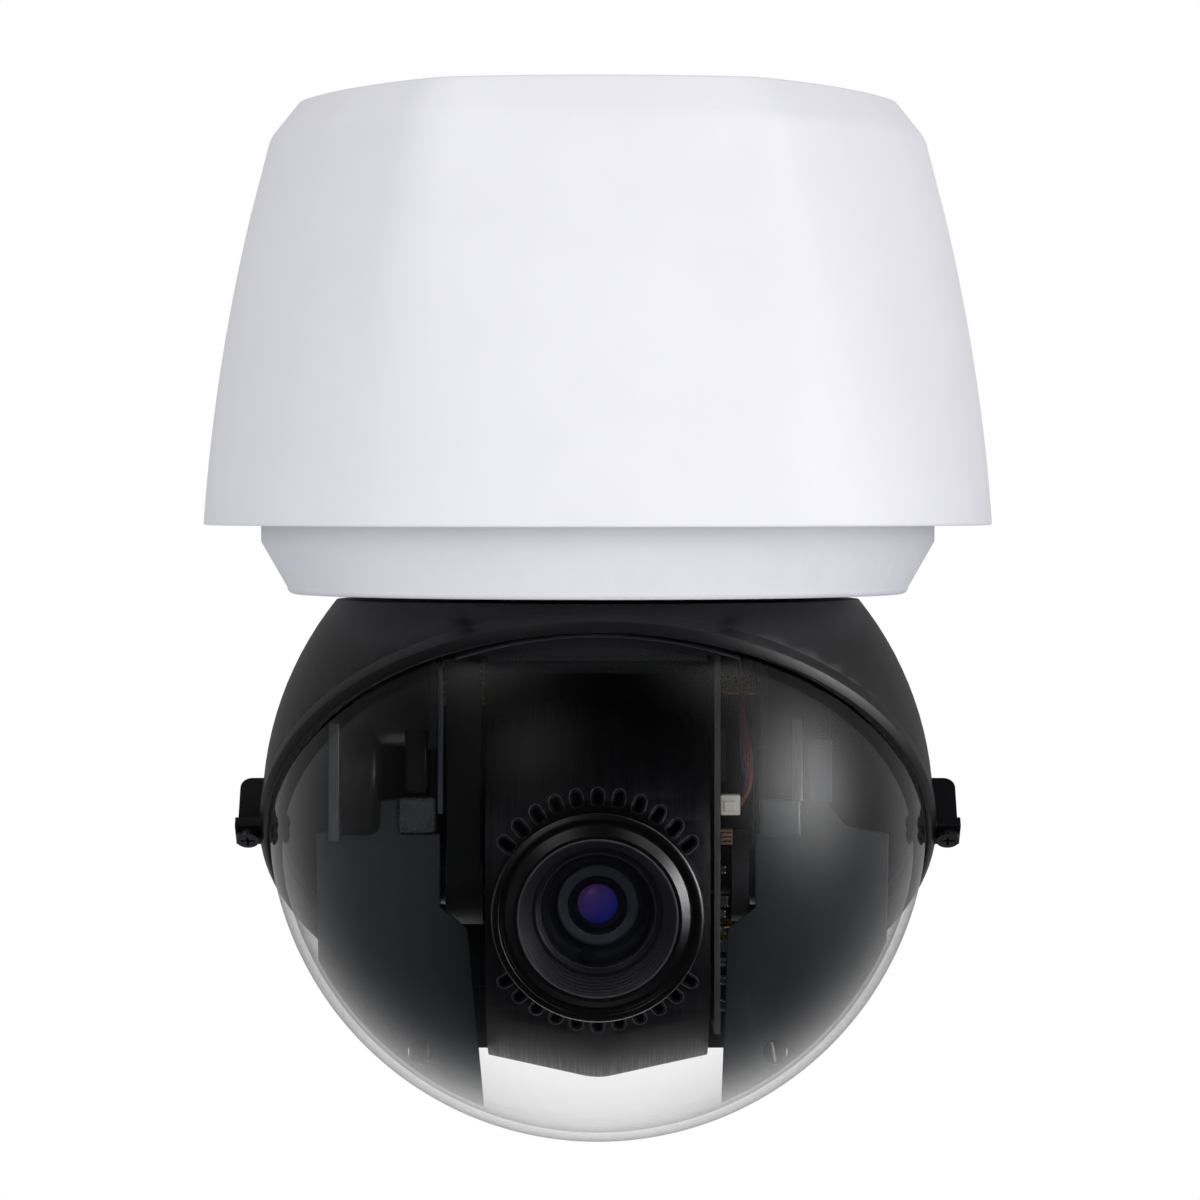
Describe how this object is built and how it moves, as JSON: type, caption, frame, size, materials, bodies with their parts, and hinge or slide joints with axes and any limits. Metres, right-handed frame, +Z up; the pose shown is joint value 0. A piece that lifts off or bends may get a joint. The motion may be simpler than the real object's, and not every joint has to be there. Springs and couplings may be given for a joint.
{
  "type": "ptz camera",
  "caption": "Outdoor pan-tilt-zoom dome camera: a round sun hood and base hang from a pipe, with a black ball head that carries a clear bubble and a tilting lens module.",
  "frame": {"origin": "centre of the collar's top face, on the pan axis", "axes": "+Z up along the pan axis, the lens looks towards -Y at rest, +X is the side to the right of someone who faces the lens"},
  "size_m": [0.216, 0.216, 0.2864],
  "materials": {
    "white_abs": "white weatherproof plastic, fine moulded texture",
    "white_cast": "white powder-coated aluminium casting",
    "collar_metal": "white powder coat",
    "steel": "stainless screws",
    "black_steel": "black oxide",
    "bearing_steel": "ground steel",
    "rubber": "moulded rubber",
    "motor_body": "satin black motor",
    "zinc_sheet": "zinc-plated sheet",
    "green_board": "circuit board with solder mask",
    "board_part": "moulded electronic parts",
    "shell_black": "satin black plastic",
    "bubble_clear": "clear polycarbonate",
    "panel_charcoal": "matte charcoal plastic",
    "yoke_metal": "black anodised sheet",
    "shroud_black": "black brushed anodised",
    "bezel_gloss": "piano black",
    "brass": "turned brass",
    "coated_glass": "coated optical glass",
    "clear_glass": "coated front lens",
    "wire": "insulated wires",
    "white_nylon": "moulded nylon"
  },
  "bodies": {
    "base": {"sun_hood": "white_abs", "hood_screws": "steel", "mount_collar": "collar_metal", "collar_screws": "steel", "cable_gland": "rubber", "base_housing": "white_cast", "cover_gasket": "rubber", "base_cover": "white_cast", "cover_screws": "steel", "bearing_outer_ring": "bearing_steel", "bearing_balls": "bearing_steel", "pan_seal": "rubber", "pan_motor": "motor_body", "motor_bracket": "zinc_sheet", "slip_ring_stator": "board_part", "main_board": "green_board", "main_board_parts": "board_part", "board_standoffs": "brass"},
    "pan_drive": {"pan_pinion": "brass"},
    "head": {"pan_hub": "shroud_black", "hub_screws": "steel", "bearing_inner_ring": "bearing_steel", "pan_gear": "white_nylon", "slip_ring_rotor": "board_part", "head_shell": "shell_black", "bubble_gasket": "rubber", "dome_bubble": "bubble_clear", "bubble_ring": "shell_black", "ring_screws": "black_steel", "yoke_frame": "yoke_metal", "left_side_panel": "panel_charcoal", "right_side_panel": "panel_charcoal", "top_baffle": "yoke_metal", "tilt_motor": "motor_body", "tilt_belt": "rubber", "tilt_bearings": "bearing_steel", "head_board": "green_board", "head_board_parts": "board_part", "board_posts": "brass", "wire_harness": "wire"},
    "tilt_drive": {"tilt_motor_pulley": "brass"},
    "camera": {"tilt_frame": "yoke_metal", "tilt_pulley": "board_part", "encoder_disc": "board_part", "camera_block": "yoke_metal", "image_sensor": "green_board", "guide_rods": "bearing_steel", "lens_barrel": "shroud_black", "front_lens": "clear_glass", "lens_core": "board_part", "core_screw": "black_steel", "inner_lens": "coated_glass", "lens_bezel": "bezel_gloss", "lens_shroud": "shroud_black", "rear_shroud": "shroud_black", "shroud_screws": "black_steel"},
    "zoom_group": {"zoom_carriage": "board_part", "zoom_lens": "coated_glass"},
    "focus_group": {"focus_carriage": "board_part", "focus_lens": "coated_glass"}
  },
  "joints": [
    {"name": "pan", "type": "hinge", "parent": "base", "child": "head", "pos_m": [0, 0, -0.138], "axis": [0, 0, 1], "continuous": true},
    {"name": "pan_motor_spin", "type": "hinge", "parent": "base", "child": "pan_drive", "pos_m": [0, 0.0449, -0.115], "axis": [0, 0, 1], "continuous": true},
    {"name": "tilt", "type": "hinge", "parent": "head", "child": "camera", "pos_m": [0, 0, -0.214], "axis": [1, 0, 0], "range_deg": [-16, 84]},
    {"name": "tilt_motor_spin", "type": "hinge", "parent": "head", "child": "tilt_drive", "pos_m": [-0.052, -0.00764, -0.1605], "axis": [1, 0, 0], "range_deg": [-40.5, 210.5]},
    {"name": "zoom_slide", "type": "slide", "parent": "camera", "child": "zoom_group", "axis": [0, -0.9954, -0.0958], "range_m": [0, 0.024]},
    {"name": "focus_slide", "type": "slide", "parent": "camera", "child": "focus_group", "axis": [0, -0.9954, -0.0958], "range_m": [0, 0.012]}
  ],
  "couplings": [
    {"joint": "pan_motor_spin", "follows": "pan", "ratio": -6},
    {"joint": "tilt_motor_spin", "follows": "tilt", "ratio": 2.5}
  ]
}
